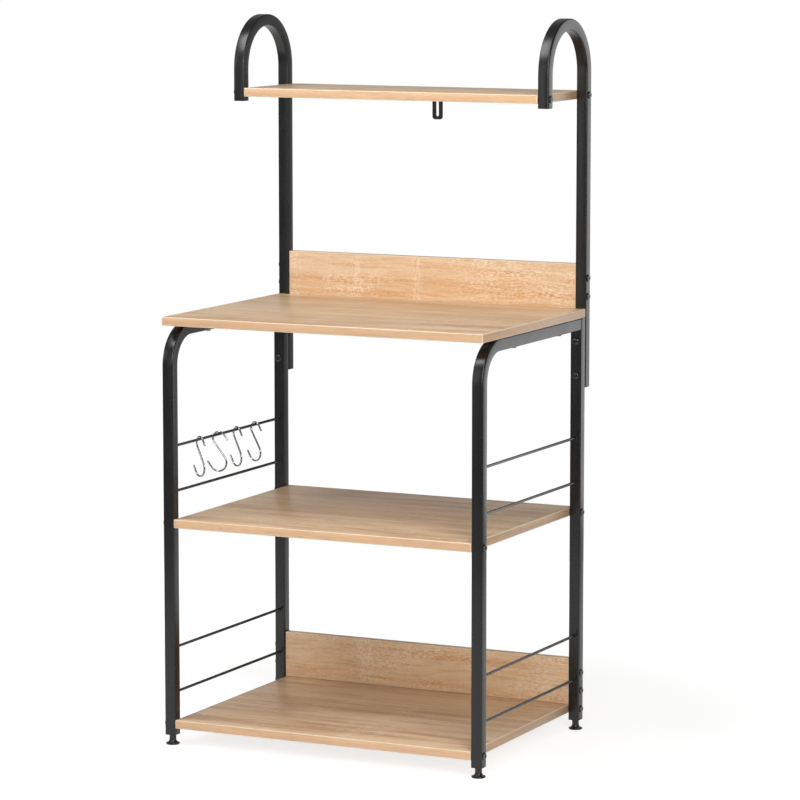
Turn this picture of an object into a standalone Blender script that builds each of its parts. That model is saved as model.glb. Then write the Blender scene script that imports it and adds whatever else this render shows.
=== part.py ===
"""Kitchen shelving unit: bent-tube side frames and hoops, boards bolted between them, S-hooks and feet.

Metres, +Z up. The front faces -Y. The origin is on the floor under the middle of the unit.
"""

import math

import bmesh
import bpy
from mathutils import Matrix, Vector

# The whole unit. Heights are of upper faces over the floor
UNIT_WIDTH = 0.600
WORKTOP_DEPTH = 0.430
UNIT_HEIGHT = 1.245
WORKTOP_HEIGHT = 0.742
MIDDLE_SHELF_HEIGHT = 0.3945
BOTTOM_SHELF_HEIGHT = 0.0445

# Fits
SEAT_GAP = 0.0003
OVERRUN = 0.002
MERGE_DISTANCE = 0.00003

# Square steel tube
TUBE_SIDE = 0.020
TUBE_WALL = 0.0012
TUBE_CORNER_RADIUS = 0.0025
CORNER_STEPS = 2
BEND_STEPS = 7
FRONT_BEND_RADIUS = 0.060

# Hoops: a short front leg and a long rear post, their crown standing over the top shelf by the rise
HOOP_SPAN = 0.167
HOOP_RISE = 0.126
HOOP_LEG_DROP = 0.008
POST_BOLT_DROP = 0.040
POST_BOLT_SPACING = 0.060
POST_END_MARGIN = 0.0225
END_CAP_THICKNESS = 0.0015
HOOP_CAP_DEPTH = 0.010

# Round side rods, over the upper face of the shelf below them
ROD_DIAMETER = 0.004
ROD_SIDES = 8
LOW_ROD_RISE = 0.045
HIGH_ROD_RISE = 0.1235

# Boards
BOARD_THICKNESS = 0.015
BOARD_EDGE_EASE = 0.0006
PANEL_HEIGHT = 0.082
PANEL_BOLT_SPACING = 0.032
UPPER_PANEL_RISE = 0.0775

# Socket-head bolts
BOLT_DIAMETER = 0.006
BOLT_HEAD_DIAMETER = 0.0125
BOLT_HEAD_RIM = 0.0012
BOLT_HEAD_HEIGHT = 0.0032
BOLT_CROWN_DIAMETER = 0.008
SOCKET_ACROSS_FLATS = 0.004
SOCKET_DEPTH = 0.002
BOLT_SIDES = 12
SOCKET_SIDES = 6
DRILL_SIDES = 10
BOARD_BOLT_BITE = 0.0195
POST_BOLT_BITE = 0.009
DRILL_TIP_ROOM = 0.002

# Worktop screws, which come up through the rails
SCREW_DIAMETER = 0.005
SCREW_HEAD_DIAMETER = 0.010
SCREW_HEAD_HEIGHT = 0.003
SCREW_BITE = 0.010
WORKTOP_SCREW_SHARES = (0.34, 0.78)

# Anti-tip bracket under the top shelf
BRACKET_OFFSET = 0.007
BRACKET_WIDTH = 0.0195
BRACKET_DROP = 0.042
BRACKET_FOOT = 0.024
BRACKET_THICKNESS = 0.002
BRACKET_BEND_RADIUS = 0.0015
BRACKET_CORNER_RADIUS = 0.005
BRACKET_SLOT_WIDTH = 0.0055
BRACKET_SLOT_LENGTH = 0.028
BRACKET_SLOT_MARGIN = 0.0055
BRACKET_CORNER_STEPS = 4

# Levelling feet, turned round their own axis
FOOT_HEIGHT = 0.0170
FOOT_PAD_DIAMETER = 0.024
FOOT_RIM_HEIGHT = 0.0028
FOOT_EDGE_EASE = 0.0008
FOOT_FLARE_HEIGHT = 0.0065
FOOT_NECK_DIAMETER = 0.012
FOOT_STUD_DIAMETER = 0.008
FOOT_STUD_LENGTH = 0.0155
FOOT_FLARE_STEPS = 4
FOOT_SIDES = 16
LEG_PLUG_DEPTH = 0.0135

# S-hooks of round wire
HOOK_WIRE_DIAMETER = 0.003
HOOK_UPPER_RADIUS = 0.0112
HOOK_LOWER_RADIUS = 0.0157
HOOK_STEM_LENGTH = 0.034
HOOK_UPPER_TIP = 0.011
HOOK_LOWER_TIP = 0.0125
HOOK_BEND_STEPS = 10
HOOK_WIRE_SIDES = 8
HOOK_PLACE_SHARES = (0.242, 0.418, 0.590, 0.767)
HOOK_TURNS = (-30, 8, -29, -21)

SIDES = (("left", -1), ("right", 1))
HALF_TURN = math.pi
QUARTER_TURN = math.pi / 2
SMOOTH_ANGLE = math.radians(46)

# Places worked out from the sizes above
FRONT_Y = -(WORKTOP_DEPTH + SEAT_GAP + TUBE_SIDE) / 2
LEG_REAR_Y = FRONT_Y + WORKTOP_DEPTH
FRONT_LEG_Y = FRONT_Y + TUBE_SIDE / 2
REAR_LEG_Y = LEG_REAR_Y - TUBE_SIDE / 2
POST_Y = LEG_REAR_Y + SEAT_GAP + TUBE_SIDE / 2
HOOP_LEG_Y = POST_Y - HOOP_SPAN
TUBE_X = (UNIT_WIDTH - TUBE_SIDE) / 2
OUTER_X = UNIT_WIDTH / 2
TOP_SHELF_HEIGHT = UNIT_HEIGHT - HOOP_RISE
LEG_FOOT_Z = FOOT_HEIGHT + SEAT_GAP
LEG_END_Z = LEG_FOOT_Z + END_CAP_THICKNESS + SEAT_GAP
WORKTOP_UNDER_Z = WORKTOP_HEIGHT - BOARD_THICKNESS
LEG_TOP_Z = WORKTOP_UNDER_Z - SEAT_GAP
RAIL_Z = LEG_TOP_Z - TUBE_SIDE / 2
RAIL_UNDER_Z = LEG_TOP_Z - TUBE_SIDE
POST_BOLT_HEIGHTS = (WORKTOP_UNDER_Z - POST_BOLT_DROP, WORKTOP_UNDER_Z - POST_BOLT_DROP - POST_BOLT_SPACING)
POST_END_Z = POST_BOLT_HEIGHTS[1] - POST_END_MARGIN
HOOP_LEG_END_Z = TOP_SHELF_HEIGHT - BOARD_THICKNESS - HOOP_LEG_DROP
HOOP_RADIUS = HOOP_SPAN / 2
HOOP_BEND_Z = UNIT_HEIGHT - TUBE_SIDE / 2 - HOOP_RADIUS
SHELF_LENGTH = UNIT_WIDTH - 2 * (TUBE_SIDE + SEAT_GAP)
TOP_SHELF_DEPTH = HOOP_SPAN + TUBE_SIDE
UPPER_PANEL_Z = WORKTOP_HEIGHT + UPPER_PANEL_RISE - PANEL_HEIGHT / 2
LOWER_PANEL_Z = BOTTOM_SHELF_HEIGHT + SEAT_GAP + PANEL_HEIGHT / 2
ROD_HEIGHTS = {
    "middle_lower": MIDDLE_SHELF_HEIGHT + LOW_ROD_RISE,
    "middle_upper": MIDDLE_SHELF_HEIGHT + HIGH_ROD_RISE,
    "bottom_lower": BOTTOM_SHELF_HEIGHT + LOW_ROD_RISE,
    "bottom_upper": BOTTOM_SHELF_HEIGHT + HIGH_ROD_RISE,
}
ROD_FRONT_Y = FRONT_Y + TUBE_SIDE + SEAT_GAP
ROD_LENGTH = WORKTOP_DEPTH - 2 * (TUBE_SIDE + SEAT_GAP)
BOLT_HOLE_RADIUS = BOLT_DIAMETER / 2 + SEAT_GAP
SCREW_HOLE_RADIUS = SCREW_DIAMETER / 2 + SEAT_GAP


def clear_scene():
    for obj in list(bpy.data.objects):
        bpy.data.objects.remove(obj, do_unlink=True)


def finish(name, colour, roughness, metallic):
    """A plain material in the piece's colour."""
    made = bpy.data.materials.new(name)
    made.use_nodes = True
    shader = made.node_tree.nodes["Principled BSDF"]
    shader.inputs["Base Color"].default_value = (*colour, 1)
    shader.inputs["Roughness"].default_value = roughness
    shader.inputs["Metallic"].default_value = metallic
    return made


def mesh_from(bm, name):
    """Turns a bmesh into a mesh with outward faces, smooth where it is round."""
    bmesh.ops.recalc_face_normals(bm, faces=bm.faces)
    mesh = bpy.data.meshes.new(name)
    bm.to_mesh(mesh)
    bm.free()
    mesh.shade_smooth()
    mesh.set_sharp_from_angle(angle=SMOOTH_ANGLE)
    return mesh


def place(name, data, material, location, rotation=(0, 0, 0)):
    """Puts a piece under the unit's empty, at its own origin."""
    obj = bpy.data.objects.new(name, data)
    bpy.context.scene.collection.objects.link(obj)
    obj.location = location
    obj.rotation_euler = rotation
    obj.parent = bpy.data.objects["shelving_unit"]
    if not data.materials:
        data.materials.append(material)
    return obj


def make_cutter(name, bm):
    """A helper that only Booleans use."""
    cutter = bpy.data.objects.new(name, mesh_from(bm, name))
    bpy.context.scene.collection.objects.link(cutter)
    cutter.hide_render = True
    cutter.display_type = "WIRE"
    return cutter


def join_or_cut(obj, other, operation):
    boolean = obj.modifiers.new(f"{operation.lower()}_{other.name}", "BOOLEAN")
    boolean.operation = operation
    boolean.object = other
    boolean.solver = "EXACT"


def baked_mesh(obj, name):
    """The object's mesh with its modifiers applied. The object goes."""
    graph = bpy.context.evaluated_depsgraph_get()
    mesh = bpy.data.meshes.new_from_object(obj.evaluated_get(graph))
    mesh.name = name
    bpy.data.objects.remove(obj, do_unlink=True)
    return mesh


def rounded_square(side, radius):
    """Outline points of a square with round corners, anticlockwise."""
    straight = side / 2 - radius
    points = []
    for corner in range(4):
        middle = QUARTER_TURN * (corner + 1 / 2)
        cx = math.copysign(straight, math.cos(middle))
        cy = math.copysign(straight, math.sin(middle))
        for step in range(CORNER_STEPS + 1):
            angle = middle + QUARTER_TURN * (step / CORNER_STEPS - 1 / 2)
            points.append((cx + radius * math.cos(angle), cy + radius * math.sin(angle)))
    return points


def circle_like_square(radius):
    """Circle points that pair off with those of rounded_square."""
    count = 4 * (CORNER_STEPS + 1)
    angles = [math.tau * (i + 1 / 2) / count for i in range(count)]
    return [(radius * math.cos(angle), radius * math.sin(angle)) for angle in angles]


def add_tube_end(bm):
    """The flat ring of faces that closes a square tube's cut end."""
    corner = TUBE_CORNER_RADIUS - TUBE_WALL
    outer = [bm.verts.new((x, y, 0)) for x, y in rounded_square(TUBE_SIDE, TUBE_CORNER_RADIUS)]
    inner = [bm.verts.new((x, y, 0)) for x, y in rounded_square(TUBE_SIDE - 2 * TUBE_WALL, corner)]
    quads = [(outer[i - 1], outer[i], inner[i], inner[i - 1]) for i in range(len(outer))]
    return [bm.faces.new(quad) for quad in quads]


def faces_of(geometry):
    return [g for g in geometry if isinstance(g, bmesh.types.BMFace)]


def verts_of(geometry):
    return [g for g in geometry if isinstance(g, bmesh.types.BMVert)]


def with_edges(faces):
    """The faces and their edges, so that a sweep takes away the faces it leaves inside."""
    return [*faces, *{edge for face in faces for edge in face.edges}]


def extrude(bm, faces, step):
    """Extrudes the faces by the step and returns the far ones."""
    made = bmesh.ops.extrude_face_region(bm, geom=with_edges(faces))["geom"]
    bmesh.ops.translate(bm, verts=verts_of(made), vec=step)
    return faces_of(made)


def bent_tube_mesh(name, moves):
    """A hollow square tube that starts upwards and bends towards +Y.

    Each move is a length and a turn: a straight run has no turn, and a bend's length is its radius.
    """
    bm = bmesh.new()
    end = add_tube_end(bm)
    at = Vector((0, 0, 0))
    heading = 0
    for length, turn in moves:
        if turn:
            centre = at + length * Vector((0, math.cos(heading), -math.sin(heading)))
            steps = round(BEND_STEPS * turn / QUARTER_TURN)
            ring = with_edges(end)
            made = bmesh.ops.spin(bm, geom=ring, cent=centre, axis=(1, 0, 0), angle=-turn, steps=steps)
            end = faces_of(made["geom_last"])
            heading += turn
            at = centre - length * Vector((0, math.cos(heading), -math.sin(heading)))
        else:
            step = length * Vector((0, math.sin(heading), math.cos(heading)))
            end = extrude(bm, end, step)
            at += step
    return mesh_from(bm, name)


def turned_mesh(name, profile, sides):
    """A solid of revolution about Z, from (radius, height) points that start and end on the axis."""
    bm = bmesh.new()
    verts = [bm.verts.new((radius, 0, z)) for radius, z in profile]
    edges = [bm.edges.new(pair) for pair in zip(verts, verts[1:])]
    bmesh.ops.spin(bm, geom=verts + edges, axis=(0, 0, 1), angle=math.tau, steps=sides, use_merge=True)
    bmesh.ops.remove_doubles(bm, verts=bm.verts, dist=MERGE_DISTANCE)
    return mesh_from(bm, name)


def ring_mesh(name, outlines):
    """A sleeve: outlines of (points, height), each joined to the next and the last to the first."""
    bm = bmesh.new()
    loops = [[bm.verts.new((x, y, z)) for x, y in points] for points, z in outlines]
    for k, loop in enumerate(loops):
        before = loops[k - 1]
        for i in range(len(loop)):
            bm.faces.new((before[i - 1], before[i], loop[i], loop[i - 1]))
    return mesh_from(bm, name)


def stacked_mesh(name, outlines):
    """A block through outlines of (points, height), closed by a flat face at each end."""
    bm = bmesh.new()
    loops = [[bm.verts.new((x, y, z)) for x, y in points] for points, z in outlines]
    for before, loop in zip(loops, loops[1:]):
        for i in range(len(loop)):
            bm.faces.new((before[i - 1], before[i], loop[i], loop[i - 1]))
    bm.faces.new(loops[0])
    bm.faces.new(loops[-1])
    return mesh_from(bm, name)


def add_drill(bm, start, direction, depth, radius):
    """A cylinder that runs from just outside the start to the depth."""
    turn = Vector((0, 0, 1)).rotation_difference(Vector(direction)).to_matrix().to_4x4()
    middle = Vector(start) + Vector(direction) * (depth - OVERRUN) / 2
    bmesh.ops.create_cone(
        bm,
        cap_ends=True,
        segments=DRILL_SIDES,
        radius1=radius,
        radius2=radius,
        depth=depth + OVERRUN,
        matrix=Matrix.Translation(middle) @ turn,
    )


def board_bolts():
    """Name, seat and direction of each bolt that runs sideways through a tube into a board's end."""
    half = PANEL_BOLT_SPACING / 2
    places = {
        "top_shelf_front": (HOOP_LEG_Y, TOP_SHELF_HEIGHT - BOARD_THICKNESS / 2),
        "top_shelf_rear": (POST_Y, TOP_SHELF_HEIGHT - BOARD_THICKNESS / 2),
        "upper_panel_high": (POST_Y, UPPER_PANEL_Z + half),
        "upper_panel_low": (POST_Y, UPPER_PANEL_Z - half),
        "middle_shelf_front": (FRONT_LEG_Y, MIDDLE_SHELF_HEIGHT - BOARD_THICKNESS / 2),
        "middle_shelf_rear": (REAR_LEG_Y, MIDDLE_SHELF_HEIGHT - BOARD_THICKNESS / 2),
        "lower_panel_high": (REAR_LEG_Y, LOWER_PANEL_Z + half),
        "lower_panel_low": (REAR_LEG_Y, LOWER_PANEL_Z - half),
        "bottom_shelf_front": (FRONT_LEG_Y, BOTTOM_SHELF_HEIGHT - BOARD_THICKNESS / 2),
        "bottom_shelf_rear": (REAR_LEG_Y, BOTTOM_SHELF_HEIGHT - BOARD_THICKNESS / 2),
    }
    for side, sign in SIDES:
        for name, (y, z) in places.items():
            yield f"bolt_{name}_{side}", Vector((sign * OUTER_X, y, z)), Vector((-sign, 0, 0))


def post_bolts():
    """Name, seat and direction of each bolt that joins a rear leg to its post."""
    for side, sign in SIDES:
        for level, z in zip(("high", "low"), POST_BOLT_HEIGHTS):
            seat = Vector((sign * TUBE_X, LEG_REAR_Y - TUBE_SIDE, z))
            yield f"bolt_post_{level}_{side}", seat, Vector((0, 1, 0))


def bolt_drills():
    bm = bmesh.new()
    for _, seat, direction in board_bolts():
        depth = TUBE_SIDE + SEAT_GAP + BOARD_BOLT_BITE + DRILL_TIP_ROOM
        add_drill(bm, seat, direction, depth, BOLT_HOLE_RADIUS)
    for _, seat, direction in post_bolts():
        depth = TUBE_SIDE + SEAT_GAP + POST_BOLT_BITE
        add_drill(bm, seat, direction, depth, BOLT_HOLE_RADIUS)
    return make_cutter("bolt_drills", bm)


def screw_places():
    """Points on the worktop's underside, over the rails."""
    for _, sign in SIDES:
        for share in WORKTOP_SCREW_SHARES:
            yield Vector((sign * TUBE_X, FRONT_Y + share * WORKTOP_DEPTH, WORKTOP_UNDER_Z))


def bracket_screw_place():
    """The point on the top shelf's underside over the bracket's foot."""
    y = POST_Y + TUBE_SIDE / 2 - (BRACKET_FOOT + BRACKET_THICKNESS) / 2
    return Vector((BRACKET_OFFSET, y, TOP_SHELF_HEIGHT - BOARD_THICKNESS))


def screw_drills():
    bm = bmesh.new()
    for under in (*screw_places(), bracket_screw_place()):
        add_drill(bm, under, (0, 0, 1), SCREW_BITE + SEAT_GAP, SCREW_HOLE_RADIUS)
    return make_cutter("screw_drills", bm)


def bolt_mesh(name, length):
    """A domed bolt with a hexagon socket. Its seat is at the origin and its shank points down."""
    radius = BOLT_DIAMETER / 2
    head = BOLT_HEAD_DIAMETER / 2
    crown = BOLT_CROWN_DIAMETER / 2
    profile = [
        (0, -length),
        (radius, -length),
        (radius, SEAT_GAP),
        (head, SEAT_GAP),
        (head, SEAT_GAP + BOLT_HEAD_RIM),
        (crown, BOLT_HEAD_HEIGHT + SEAT_GAP),
        (0, BOLT_HEAD_HEIGHT + SEAT_GAP),
    ]
    blank = place(name, turned_mesh(name, profile, BOLT_SIDES), BLACK_BOLT, (0, 0, 0))
    bm = bmesh.new()
    across = SOCKET_ACROSS_FLATS / math.sqrt(3)
    top = BOLT_HEAD_HEIGHT + SEAT_GAP
    bmesh.ops.create_cone(
        bm,
        cap_ends=True,
        segments=SOCKET_SIDES,
        radius1=across,
        radius2=across,
        depth=SOCKET_DEPTH + OVERRUN,
        matrix=Matrix.Translation((0, 0, top + (OVERRUN - SOCKET_DEPTH) / 2)),
    )
    socket = make_cutter(f"{name}_socket", bm)
    join_or_cut(blank, socket, "DIFFERENCE")
    mesh = baked_mesh(blank, name)
    bpy.data.objects.remove(socket, do_unlink=True)
    return mesh


def make_bolts():
    board_bolt = bolt_mesh("board_bolt", TUBE_SIDE + SEAT_GAP + BOARD_BOLT_BITE)
    post_bolt = bolt_mesh("post_bolt", TUBE_SIDE + POST_BOLT_BITE)
    for mesh, places in ((board_bolt, board_bolts()), (post_bolt, post_bolts())):
        for name, seat, direction in places:
            turn = Vector((0, 0, -1)).rotation_difference(direction).to_euler()
            place(name, mesh, BLACK_BOLT, seat, turn)


def worktop_screw(share, sign):
    """A pan-head screw under the rail, from below its lower wall into the worktop."""
    shank = SCREW_DIAMETER / 2
    head = SCREW_HEAD_DIAMETER / 2
    under = RAIL_UNDER_Z - WORKTOP_UNDER_Z
    profile = [
        (0, SCREW_BITE),
        (shank, SCREW_BITE),
        (shank, under + TUBE_WALL / 2),
        (head, under + TUBE_WALL / 2),
        (head, under - SCREW_HEAD_HEIGHT / 3),
        (head / 2, under - SCREW_HEAD_HEIGHT),
        (0, under - SCREW_HEAD_HEIGHT),
    ]
    mesh = turned_mesh("worktop_screw", profile, BOLT_SIDES)
    screw = bpy.data.objects.new("worktop_screw", mesh)
    bpy.context.scene.collection.objects.link(screw)
    screw.location = (sign * TUBE_X, FRONT_Y + share * WORKTOP_DEPTH, WORKTOP_UNDER_Z)
    screw.hide_render = True
    screw.display_type = "WIRE"
    return screw


def make_side_frames(drills):
    leg_run = RAIL_Z - FRONT_BEND_RADIUS - LEG_END_Z
    rail_run = LEG_REAR_Y - TUBE_SIDE - SEAT_GAP - (FRONT_LEG_Y + FRONT_BEND_RADIUS)
    front = bent_tube_mesh("front_tube", [(leg_run, 0), (FRONT_BEND_RADIUS, QUARTER_TURN), (rail_run, 0)])
    rear = bent_tube_mesh("rear_leg", [(LEG_TOP_Z - LEG_END_Z, 0)])
    for side, sign in SIDES:
        tube = place(f"front_tube_{side}", front, POWDER_COAT, (sign * TUBE_X, FRONT_LEG_Y, LEG_END_Z))
        for share in WORKTOP_SCREW_SHARES:
            join_or_cut(tube, worktop_screw(share, sign), "UNION")
        join_or_cut(tube, drills, "DIFFERENCE")
        leg = place(f"rear_leg_{side}", rear, POWDER_COAT, (sign * TUBE_X, REAR_LEG_Y, LEG_END_Z))
        join_or_cut(leg, drills, "DIFFERENCE")


def make_hoops(drills):
    front_run = HOOP_BEND_Z - HOOP_LEG_END_Z - END_CAP_THICKNESS - SEAT_GAP
    post_run = HOOP_BEND_Z - POST_END_Z
    hoop = bent_tube_mesh("hoop", [(front_run, 0), (HOOP_RADIUS, HALF_TURN), (post_run, 0)])
    bottom = HOOP_LEG_END_Z + END_CAP_THICKNESS + SEAT_GAP
    for side, sign in SIDES:
        tube = place(f"hoop_{side}", hoop, POWDER_COAT, (sign * TUBE_X, HOOP_LEG_Y, bottom))
        join_or_cut(tube, drills, "DIFFERENCE")


def make_rods():
    bm = bmesh.new()
    bmesh.ops.create_cone(
        bm,
        cap_ends=True,
        segments=ROD_SIDES,
        radius1=ROD_DIAMETER / 2,
        radius2=ROD_DIAMETER / 2,
        depth=ROD_LENGTH,
        matrix=Matrix.Rotation(QUARTER_TURN, 4, "X"),
    )
    rod = mesh_from(bm, "side_rod")
    middle_y = ROD_FRONT_Y + ROD_LENGTH / 2
    for side, sign in SIDES:
        for level, z in ROD_HEIGHTS.items():
            place(f"rod_{level}_{side}", rod, POWDER_COAT, (sign * TUBE_X, middle_y, z))


def board_mesh(name, size):
    """A flat board round its own centre, with its edges just eased."""
    bm = bmesh.new()
    bmesh.ops.create_cube(bm, size=1, matrix=Matrix.Diagonal((*size, 1)))
    bmesh.ops.bevel(bm, geom=bm.edges, offset=BOARD_EDGE_EASE, segments=1, affect="EDGES")
    return mesh_from(bm, name)


def make_boards(drills, screws):
    shelf_y = FRONT_Y + WORKTOP_DEPTH / 2
    top_y = HOOP_LEG_Y - TUBE_SIDE / 2 + TOP_SHELF_DEPTH / 2
    shelf = (SHELF_LENGTH, WORKTOP_DEPTH, BOARD_THICKNESS)
    top = (SHELF_LENGTH, TOP_SHELF_DEPTH, BOARD_THICKNESS)
    panel = (SHELF_LENGTH, BOARD_THICKNESS, PANEL_HEIGHT)
    worktop = (UNIT_WIDTH, WORKTOP_DEPTH, BOARD_THICKNESS)
    half = BOARD_THICKNESS / 2
    boards = (
        ("worktop", worktop, shelf_y, WORKTOP_HEIGHT - half, screws),
        ("middle_shelf", shelf, shelf_y, MIDDLE_SHELF_HEIGHT - half, drills),
        ("bottom_shelf", shelf, shelf_y, BOTTOM_SHELF_HEIGHT - half, drills),
        ("top_shelf", top, top_y, TOP_SHELF_HEIGHT - half, drills),
        ("upper_back_panel", panel, POST_Y, UPPER_PANEL_Z, drills),
        ("lower_back_panel", panel, REAR_LEG_Y, LOWER_PANEL_Z, drills),
    )
    for name, size, y, z, cutter in boards:
        board = place(name, board_mesh(name, size), OAK_BOARD, (0, y, z))
        join_or_cut(board, cutter, "DIFFERENCE")
    join_or_cut(bpy.data.objects["top_shelf"], screws, "DIFFERENCE")


def arc(centre, radius, start, turn, steps):
    """Points along an arc in a plane, without the first."""
    points = []
    for i in range(1, steps + 1):
        angle = start + turn * i / steps
        points.append((centre[0] + radius * math.cos(angle), centre[1] + radius * math.sin(angle)))
    return points


def hook_path():
    """The wire's middle line in the hook's plane, round the centre of its upper bend."""
    lower = (-HOOK_UPPER_RADIUS - HOOK_LOWER_RADIUS, -HOOK_STEM_LENGTH)
    points = [(HOOK_UPPER_RADIUS, -HOOK_UPPER_TIP), (HOOK_UPPER_RADIUS, 0)]
    points += arc((0, 0), HOOK_UPPER_RADIUS, 0, HALF_TURN, HOOK_BEND_STEPS)
    points.append((-HOOK_UPPER_RADIUS, -HOOK_STEM_LENGTH))
    points += arc(lower, HOOK_LOWER_RADIUS, 0, -HALF_TURN, HOOK_BEND_STEPS)
    points.append((lower[0] - HOOK_LOWER_RADIUS, HOOK_LOWER_TIP - HOOK_STEM_LENGTH))
    return points


def hanging_path(points):
    """The same line, tilted so that the wire's centre of mass hangs under the upper bend."""
    length = 0
    moment = Vector((0, 0))
    for a, b in zip(points, points[1:]):
        piece = (Vector(b) - Vector(a)).length
        length += piece
        moment += (Vector(a) + Vector(b)) / 2 * piece
    centre = moment / length
    tilt = math.atan2(-centre.x, -centre.y)
    return [
        (x * math.cos(tilt) - y * math.sin(tilt), x * math.sin(tilt) + y * math.cos(tilt)) for x, y in points
    ]


def make_hooks():
    """S-hooks on the upper left rod. Each has its origin on the rod's middle line."""
    wire = HOOK_WIRE_DIAMETER / 2
    sag = HOOK_UPPER_RADIUS - wire - ROD_DIAMETER / 2 - SEAT_GAP
    path = [(x, 0, z - sag) for x, z in hanging_path(hook_path())]
    rod_z = ROD_HEIGHTS["middle_upper"]
    for number, (share, turn) in enumerate(zip(HOOK_PLACE_SHARES, HOOK_TURNS), start=1):
        curve = bpy.data.curves.new(f"hook_wire_{number}", "CURVE")
        curve.dimensions = "3D"
        curve.bevel_depth = wire
        curve.bevel_resolution = HOOK_WIRE_SIDES // 2 - 2
        curve.use_fill_caps = True
        spline = curve.splines.new("POLY")
        spline.points.add(len(path) - 1)
        for point, place_on_path in zip(spline.points, path):
            point.co = (*place_on_path, 1)
        y = ROD_FRONT_Y + share * ROD_LENGTH
        place(f"s_hook_{number}", curve, CHROME, (-TUBE_X, y, rod_z), (0, 0, math.radians(turn)))


def foot_mesh():
    """A flared foot with its stud, turned about its own axis, standing on the floor."""
    pad = FOOT_PAD_DIAMETER / 2
    neck = FOOT_NECK_DIAMETER / 2
    stud = FOOT_STUD_DIAMETER / 2
    top = FOOT_HEIGHT + FOOT_STUD_LENGTH
    profile = [(0, 0), (pad - FOOT_EDGE_EASE, 0), (pad, FOOT_EDGE_EASE), (pad, FOOT_RIM_HEIGHT)]
    for step in range(1, FOOT_FLARE_STEPS + 1):
        angle = QUARTER_TURN * step / FOOT_FLARE_STEPS
        radius = pad - (pad - neck) * math.sin(angle)
        profile.append((radius, FOOT_RIM_HEIGHT + FOOT_FLARE_HEIGHT * (1 - math.cos(angle))))
    profile += [(neck, FOOT_HEIGHT), (stud, FOOT_HEIGHT)]
    profile += [(stud, top - stud / 4), (3 * stud / 4, top), (0, top)]
    return turned_mesh("levelling_foot", profile, FOOT_SIDES)


def cap_outlines(depth):
    """From below: the head that covers a tube's end, and the body inside the tube."""
    head = rounded_square(TUBE_SIDE, TUBE_CORNER_RADIUS)
    body_radius = TUBE_CORNER_RADIUS - TUBE_WALL - SEAT_GAP
    body = rounded_square(TUBE_SIDE - 2 * (TUBE_WALL + SEAT_GAP), body_radius)
    return [(head, 0), (head, END_CAP_THICKNESS), (body, END_CAP_THICKNESS), (body, depth)]


def make_feet():
    """Levelling feet and the threaded plugs that carry them in the leg ends."""
    foot = foot_mesh()
    bore = circle_like_square(FOOT_STUD_DIAMETER / 2 + SEAT_GAP)
    plug = ring_mesh("leg_plug", [*cap_outlines(LEG_PLUG_DEPTH), (bore, LEG_PLUG_DEPTH), (bore, 0)])
    for side, sign in SIDES:
        for end, y in (("front", FRONT_LEG_Y), ("rear", REAR_LEG_Y)):
            place(f"foot_{end}_{side}", foot, BLACK_PLASTIC, (sign * TUBE_X, y, 0))
            place(f"leg_plug_{end}_{side}", plug, BLACK_PLASTIC, (sign * TUBE_X, y, LEG_FOOT_Z))


def make_hoop_caps():
    """Caps that close the hoops' front ends."""
    cap = stacked_mesh("hoop_cap", cap_outlines(HOOP_CAP_DEPTH))
    for side, sign in SIDES:
        place(f"hoop_cap_{side}", cap, BLACK_PLASTIC, (sign * TUBE_X, HOOP_LEG_Y, HOOP_LEG_END_Z))


def bracket_blank():
    """A strip bent to an L: its foot runs forward from the bend, its plate hangs down at the rear."""
    inner = BRACKET_BEND_RADIUS
    outer = inner + BRACKET_THICKNESS
    bend = (-outer, -outer)
    outline = [(0, -BRACKET_DROP), (0, -outer)]
    outline += arc(bend, outer, 0, QUARTER_TURN, BRACKET_CORNER_STEPS)
    outline += [(-BRACKET_FOOT, 0), (-BRACKET_FOOT, -BRACKET_THICKNESS), (-outer, -BRACKET_THICKNESS)]
    outline += arc(bend, inner, QUARTER_TURN, -QUARTER_TURN, BRACKET_CORNER_STEPS)
    outline += [(-BRACKET_THICKNESS, -BRACKET_DROP)]
    bm = bmesh.new()
    face = bm.faces.new([bm.verts.new((-BRACKET_WIDTH / 2, y, z)) for y, z in outline])
    extrude(bm, [face], (BRACKET_WIDTH, 0, 0))
    corners = []
    for edge in bm.edges:
        a, b = (vert.co for vert in edge.verts)
        sideways = abs(a.x - b.x) > SEAT_GAP
        at_plate_end = max(a.z, b.z) < SEAT_GAP - BRACKET_DROP
        at_foot_end = max(a.y, b.y) < SEAT_GAP - BRACKET_FOOT
        if not sideways and (at_plate_end or at_foot_end):
            corners.append(edge)
    bmesh.ops.bevel(
        bm, geom=corners, offset=BRACKET_CORNER_RADIUS, segments=BRACKET_CORNER_STEPS, affect="EDGES", profile=0.5
    )
    return mesh_from(bm, "tip_bracket")


def bracket_holes(origin):
    """The wall slot in the plate and the screw hole in the foot."""
    bm = bmesh.new()
    half = BRACKET_SLOT_WIDTH / 2
    low = BRACKET_SLOT_MARGIN + half - BRACKET_DROP
    high = low + BRACKET_SLOT_LENGTH - BRACKET_SLOT_WIDTH
    outline = arc((0, high), half, 0, HALF_TURN, 2 * BRACKET_CORNER_STEPS)
    outline += arc((0, low), half, HALF_TURN, HALF_TURN, 2 * BRACKET_CORNER_STEPS)
    face = bm.faces.new([bm.verts.new((x, OVERRUN, z)) for x, z in outline])
    extrude(bm, [face], (0, -BRACKET_THICKNESS - 2 * OVERRUN, 0))
    bmesh.ops.translate(bm, verts=bm.verts, vec=origin)
    under = bracket_screw_place() - Vector((0, 0, SEAT_GAP + BRACKET_THICKNESS))
    add_drill(bm, under, (0, 0, 1), BRACKET_THICKNESS + OVERRUN / 2, SCREW_HOLE_RADIUS)
    return make_cutter("bracket_holes", bm)


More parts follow.
